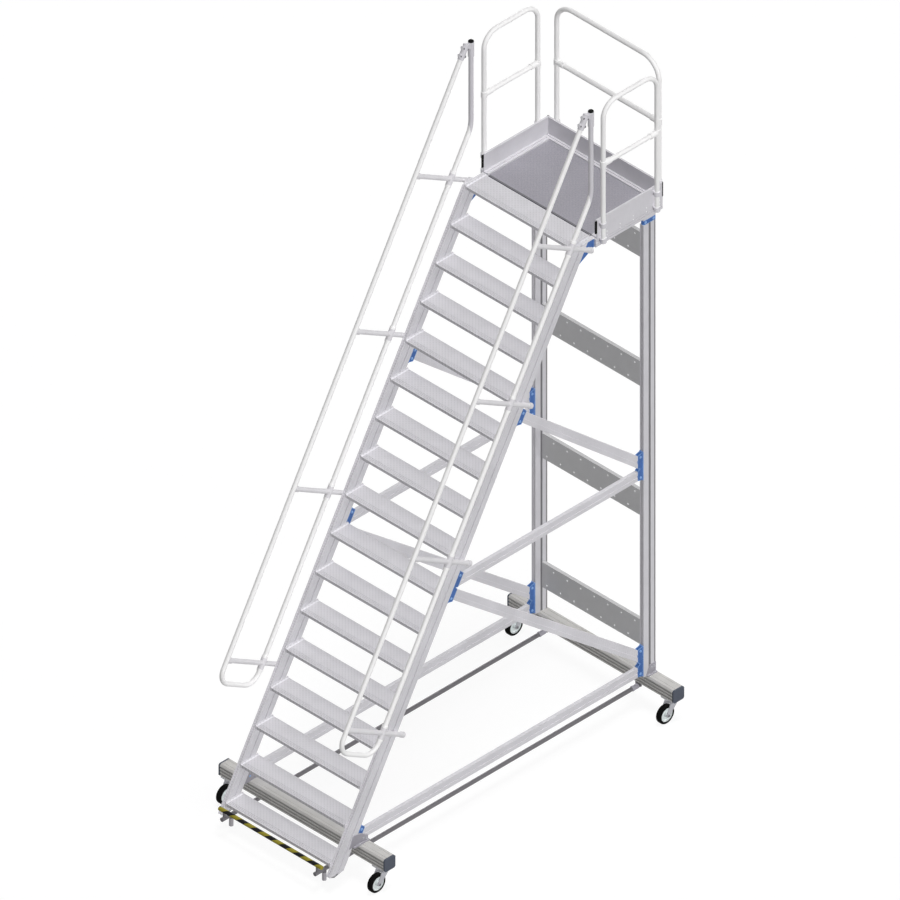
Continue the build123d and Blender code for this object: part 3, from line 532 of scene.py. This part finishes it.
def add_edge_wear_and_highlight(name, radius, factors):
    """Lighter tone along the edges: partly worn paint and metal, partly a painted highlight."""
    tree = materials[name].node_tree
    rounded = tree.nodes.new("ShaderNodeBevel")
    rounded.samples = worn_lit_edge_samples
    rounded.inputs["Radius"].default_value = radius
    flat = tree.nodes.new("ShaderNodeNewGeometry")
    turn = tree.nodes.new("ShaderNodeVectorMath")
    turn.operation = "DOT_PRODUCT"
    edge = tree.nodes.new("ShaderNodeMapRange")
    edge.inputs["From Min"].default_value, edge.inputs["From Max"].default_value = worn_lit_edge_turn
    tree.links.new(rounded.outputs["Normal"], turn.inputs[0])
    tree.links.new(flat.outputs["True Normal"], turn.inputs[1])
    tree.links.new(turn.outputs["Value"], edge.inputs["Value"])
    tint(tree, edge.outputs["Result"], factors)


def cap_middle_y():
    """Y of the handrails' upright parts, the middle of the caps on them."""
    low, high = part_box("handrail_caps")
    return (low[1] + high[1]) / 2


def add_handrail_tones():
    """Painted shade on a handrail's upright part, and greyer tone of its knuckle and of the inner leg's
    sleeves.
    """
    tree = materials["handrail_tube"].node_tree
    upright = band_mask(tree, climbing, cap_middle_y(), upright_half)
    knuckle = band_mask(tree, up_slope, knuckle_low + knuckle_half, knuckle_half)
    # painted shade on the upright, and the grey of the knuckle
    tint(tree, combine(tree, "MAXIMUM", upright, knuckle), upright_shade_knuckle_grey)
    for share in strut_shares:
        along = share * stringer_length + back_edge_y * math.cos(slope)
        sleeve = band_mask(tree, up_slope, along, sleeve_half)
        inner_leg = band_mask(tree, off_slope, slope_offset + inner_leg_ahead, sleeve_reach)
        tint(tree, combine(tree, "MINIMUM", sleeve, inner_leg), sleeve_tone)


def add_dents(name, pitch, shade, strength, ways):
    """Staggered small dents in rows along two directions, as painted shade inside them and a relief."""
    tree = materials[name].node_tree
    waves = []
    for way in ways:
        turn = combine(tree, "MULTIPLY", place_along(tree, way), 2 * math.pi / pitch)
        waves.append(combine(tree, "COSINE", turn))
    dent = tree.nodes.new("ShaderNodeMapRange")
    dent.interpolation_type = "SMOOTHSTEP"
    dent.inputs["From Min"].default_value, dent.inputs["From Max"].default_value = dent_rim
    tree.links.new(combine(tree, "MULTIPLY", *waves), dent.inputs["Value"])
    # painted shade inside the dents
    tint(tree, dent.outputs["Result"], (shade, shade, shade))
    add_relief(tree, dent.outputs["Result"], strength, dent_height, dented=True)


def dress_nodes():
    """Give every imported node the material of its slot, or its own."""
    for part in frame["record"]["subparts"]:
        mesh = nodes[part["node"]].data
        mesh.materials.clear()
        mesh.materials.append(materials[node_materials.get(part["node"], part["material_slot"])])


def on_slope(along, ahead):
    """Y and Z of a point this far up the stringers' back edge and this far square ahead of it."""
    y = back_edge_y + along * math.cos(slope) - ahead * math.sin(slope)
    return y, along * math.sin(slope) + ahead * math.cos(slope)


def spread(first, last, count):
    """Evenly spaced places from the first to the last."""
    step = (last - first) / (count - 1)
    return [first + step * number for number in range(count)]


def sideways(side):
    """Unit direction along X to this side."""
    return (float(side), 0.0, 0.0)


def add_skin(bm, loops):
    """Faces from each loop of corners to the next, closed at both ends."""
    bm.faces.new(list(reversed(loops[0])))
    bm.faces.new(loops[-1])
    for low, high in zip(loops, loops[1:]):
        for number in range(len(low)):
            after = (number + 1) % len(low)
            bm.faces.new((low[number], low[after], high[after], high[number]))


def add_rings(bm, centre, axis, sides, rings):
    """Turned form: rings of a radius and a height along an axis."""
    quaternion = Vector(axis).to_track_quat("Z", "Y")
    loops = []
    for radius, height in rings:
        loop = []
        for number in range(sides):
            turn = 2 * math.pi * number / sides
            point = Vector((radius * math.cos(turn), radius * math.sin(turn), height))
            loop.append(bm.verts.new(Vector(centre) + quaternion @ point))
        loops.append(loop)
    add_skin(bm, loops)


def scaled(profile, radius, height):
    """Rings of a profile at this radius and height."""
    return tuple((wide * radius, rise * height) for wide, rise in profile)


def add_rivet(bm, centre, axis, radius):
    """Domed rivet head, set a little into its plate."""
    rings = ((radius, -sink),) + scaled(rivet_profile, radius, rivet_rise * radius)
    add_rings(bm, centre, axis, rivet_sides, rings)


def add_bolt(bm, centre, axis, radius, height):
    """Hexagon head with a chamfer and a dimple, on a round washer."""
    washer = washer_rise * height
    edge = washer_radius * radius
    add_rings(bm, centre, axis, washer_sides, ((edge, -sink), (edge, washer)))
    head = scaled(bolt_profile, radius, height)
    add_rings(bm, Vector(centre) + Vector(axis) * washer, axis, 6, head)


def add_plate(bm, outline, x, side, thickness):
    """Plate with a cut edge on its outer side, from an outline in Y and Z."""
    middle_y = sum(y for y, z in outline) / len(outline)
    middle_z = sum(z for y, z in outline) / len(outline)
    loops = []
    for out, share in ((-sink, 1.0), (plate_edge * thickness, 1.0), (thickness, plate_cut)):
        loop = []
        for y, z in outline:
            spot = (side * (x + out), middle_y + share * (y - middle_y), middle_z + share * (z - middle_z))
            loop.append(bm.verts.new(spot))
        loops.append(loop)
    add_skin(bm, loops)


def add_block(bm, centre, size, cut, turn):
    """Block with cut edges, turned about X, as four stacked outlines."""
    rotation = Matrix.Rotation(turn, 3, "X")
    half = [value / 2 for value in size]
    loops = []
    for height, inset in ((-half[2], cut), (-half[2] + cut, 0.0), (half[2] - cut, 0.0), (half[2], cut)):
        wide = half[0] - inset
        deep = half[1] - inset
        edge = ((-wide, -deep + cut), (-wide + cut, -deep), (wide - cut, -deep), (wide, -deep + cut))
        outline = edge + tuple((-x, -y) for x, y in edge)
        spots = [Vector(centre) + rotation @ Vector((x, y, height)) for x, y in outline]
        loops.append([bm.verts.new(spot) for spot in spots])
    add_skin(bm, loops)


def make_piece(name, bm, material, body):
    """New piece of the part from mesh code."""
    mesh = bpy.data.meshes.new(name)
    bm.to_mesh(mesh)
    bm.free()
    piece = place_object(name, mesh)
    mesh.materials.append(materials[material])
    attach(piece, body)


def make_board_rivets():
    """Rivets along the top and the bottom of each cross board."""
    bm = bmesh.new()
    for number in range(board_count):
        top = board_top_z + board_rise * number
        for below, end, count in board_rows:
            for x in spread(-end, end, count):
                add_rivet(bm, (x, board_front_y, top - below), (0.0, -1.0, 0.0), board_rivet)
    make_piece("board_rivets", bm, "rivet_light", "frame")


def make_platform_rivets():
    """Rivets along the outer faces of the platform frame and the toe boards."""
    bm = bmesh.new()
    for z in platform_rows:
        for y in spread(*platform_side_rivets):
            for side in (-1, 1):
                add_rivet(bm, (side * platform_half, y, z), sideways(side), platform_rivet)
        for x in spread(*platform_back_rivets):
            add_rivet(bm, (x, platform_back_y, z), climbing, platform_rivet)
    make_piece("platform_rivets", bm, "rivet_light", "frame")


def joint_places():
    """Y and Z of the bolts in the joint pieces, one near each end of every piece."""
    places = []
    for low, high in joint_post_spans:
        y = post_front_y - joint_depth / 2
        places += [(y, low + post_joint_inset), (y, high - post_joint_inset)]
    for low, high in joint_flight_spans:
        for along in (low + flight_joint_inset, high - flight_joint_inset):
            places.append(on_slope(along, -joint_depth / 2))
    return places


def make_joint_bolts():
    """Bolts through the joint pieces, on both of their sides, and through the posts' caps."""
    bm = bmesh.new()
    for side in (-1, 1):
        for y, z in joint_places():
            for face in (-1, 1):
                add_bolt(bm, (side * stringer_x + face * brace_half, y, z), sideways(face), *joint_bolt)
        for y in (post_front_y + cap_bolt_inset, post_back_y - cap_bolt_inset):
            add_bolt(bm, (side * outer_x, y, post_cap_z), sideways(side), *cap_bolt)
    make_piece("joint_bolts", bm, "bolt_blue", "frame")


def make_bracket_cheeks():
    """Plates of the front brackets, which lap over the stringers' outer faces."""
    bm = bmesh.new()
    outline = [(y - mid_y, z) for y, z in cheek_outline]
    for side in (-1, 1):
        add_plate(bm, outline, outer_x, side, bracket_wall)
    bmesh.ops.recalc_face_normals(bm, faces=bm.faces)
    make_piece("bracket_cheeks", bm, "bracket_metal", "frame")


def make_cap_brims():
    """Flat brims under the caps at the tops of the handrails."""
    low_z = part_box("handrail_caps")[0][2]
    bm = bmesh.new()
    for side in (-1, 1):
        centre = (side * handrail_x, cap_middle_y(), low_z)
        add_rings(bm, centre, upward, turned_sides, brim_rings)
    make_piece("cap_brims", bm, "black_plastic", "frame")


def make_rod_sleeves():
    """Turned sleeves on the lift rods, next to their rear hangers."""
    high_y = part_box("lift_rods")[1][1]
    bm = bmesh.new()
    for side in (-1, 1):
        centre = (side * (stringer_x - stringer_half - rod_inset), high_y - rod_sleeve_inset, rod_z)
        add_rings(bm, centre, (0.0, -1.0, 0.0), turned_sides, sleeve_rings)
    make_piece("rod_sleeves", bm, "bracket_metal", "frame")


def make_bracket_bolts():
    """Bolts of the feet of the flight and the posts."""
    bm = bmesh.new()
    for side in (-1, 1):
        out = sideways(side)
        wall_x = side * (outer_x + bracket_wall)
        for y, z in cheek_bolts:
            add_bolt(bm, (wall_x, y - mid_y, z), out, *cheek_bolt)
        for y in front_foot_bolts:
            spot = (side * (outer_x + front_foot_reach), y - mid_y, bracket_foot_z)
            add_bolt(bm, spot, upward, *front_foot_bolt)
        for y in post_bolts:
            add_bolt(bm, (wall_x, y, post_bolt_z), out, *post_bolt)
        for y in rear_foot_bolts:
            spot = (side * (outer_x + rear_foot_reach), y, bracket_foot_z)
            add_bolt(bm, spot, upward, *rear_foot_bolt)
    make_piece("bracket_bolts", bm, "caster_steel", "frame")


def make_caster_bolts():
    """Bolts under the corners of the caster plates."""
    bm = bmesh.new()
    for corner in corners:
        low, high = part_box("fork_" + corner)
        x = (low[0] + high[0]) / 2
        y = high[1] - caster_plate_inset
        for dx in (-caster_bolt_x, caster_bolt_x):
            for dy in (-caster_bolt_y, caster_bolt_y):
                add_bolt(bm, (x + dx, y + dy, caster_plate_z), (0.0, 0.0, -1.0), *caster_bolt)
    make_piece("caster_bolts", bm, "caster_steel", "frame")


def make_axle_nuts():
    """Hexagon nuts on both ends of every axle."""
    for corner in corners:
        bm = bmesh.new()
        low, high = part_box("fork_" + corner)
        wheel_low, wheel_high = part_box("rim_" + corner)
        y = (wheel_low[1] + wheel_high[1]) / 2
        for x, side in ((low[0], -1), (high[0], 1)):
            add_rings(bm, (x, y, axle_z), sideways(side), 6, nut_rings)
        make_piece("axle_nuts_" + corner, bm, "bolt_dark", "swivel_" + corner)


def make_clamp_screws():
    """Screws through the cheeks of the railing clamps."""
    bm = bmesh.new()
    legs = []
    for side in (-1, 1):
        legs += [(side * (platform_half + clamp_out), y, climbing) for y in side_clamps]
    for side in (-1, 1):
        legs.append((side * (platform_half - rear_clamp_inset), platform_back_y + clamp_out, across))
    for x, y, way in legs:
        for z in clamp_heights:
            for sign in (-1, 1):
                axis = Vector(way) * sign
                add_bolt(bm, Vector((x, y, z)) + axis * clamp_reach, axis, *clamp_screw)
    make_piece("clamp_screws", bm, "bolt_dark", "frame")


def make_strut_plugs():
    """Domed plugs in the lower ends of the struts."""
    bm = bmesh.new()
    inward = (0.0, math.sin(slope), -math.cos(slope))
    for share in strut_shares:
        y, z = on_slope(share * stringer_length, strut_end_ahead)
        for side in (-1, 1):
            add_rings(bm, (side * handrail_x, y, z), inward, plug_sides, plug_rings)
    make_piece("strut_plugs", bm, "rail_tube", "frame")


def make_knuckle_lugs():
    """Lugs with their screws on the knuckles at the tops of the handrails."""
    lugs = bmesh.new()
    screws = bmesh.new()
    top_along = (knuckle_y - back_edge_y + outer_leg_ahead * math.sin(slope)) / math.cos(slope)
    for side in (-1, 1):
        x = side * handrail_x
        for below in lugs_below:
            for ahead in lugs_ahead:
                y, z = on_slope(top_along - below, outer_leg_ahead + ahead)
                add_block(lugs, (x, y, z), lug_size, lug_cut, slope - math.pi / 2)
                for face in (-1, 1):
                    add_bolt(screws, (x + face * lug_size[0] / 2, y, z), sideways(face), *lug_screw)
    make_piece("knuckle_lugs", lugs, "clamp_aluminium", "frame")
    make_piece("knuckle_screws", screws, "bolt_dark", "frame")


def make_corner_strips():
    """Black edge strips around the rear corners of the toe boards."""
    bm = bmesh.new()
    turns = spread(0.0, math.pi / 2, strip_steps)
    outline = [(strip_outer, turn) for turn in turns] + [(strip_inner, turn) for turn in reversed(turns)]
    for side in (-1, 1):
        loops = []
        for z in strip_span:
            loop = []
            for radius, turn in outline:
                x = platform_half - strip_corner + radius * math.sin(turn) + strip_stand
                y = platform_back_y - strip_corner + radius * math.cos(turn) + strip_stand
                loop.append(bm.verts.new((side * x, y, z)))
            loops.append(loop)
        add_skin(bm, loops)
    bmesh.ops.recalc_face_normals(bm, faces=bm.faces)
    make_piece("corner_strips", bm, "black_plastic", "frame")


materials = {name: make_material(name, *values) for name, values in finishes.items()}
materials["bar_paint"] = make_stripe_material()
for copy, finish in finish_copies.items():
    materials[copy] = make_material(copy, *finishes[finish])
for dents in dent_table:
    add_dents(*dents)
for bands in band_table:
    add_bands(*bands)
add_handrail_tones()
# lighter edges: worn paint and metal, and a painted highlight
for worn_lit_edge in edge_wear_and_highlight_table:
    add_edge_wear_and_highlight(*worn_lit_edge)
dress_nodes()

make_board_rivets()
make_platform_rivets()
make_joint_bolts()
make_bracket_cheeks()
make_cap_brims()
make_rod_sleeves()
make_bracket_bolts()
make_caster_bolts()
make_axle_nuts()
make_clamp_screws()
make_strut_plugs()
make_knuckle_lugs()
make_corner_strips()

make_camera()
for lamp in lamp_table:
    make_lamp(*lamp)
make_world()
make_floor()
bpy.context.scene.view_settings.view_transform = "Standard"
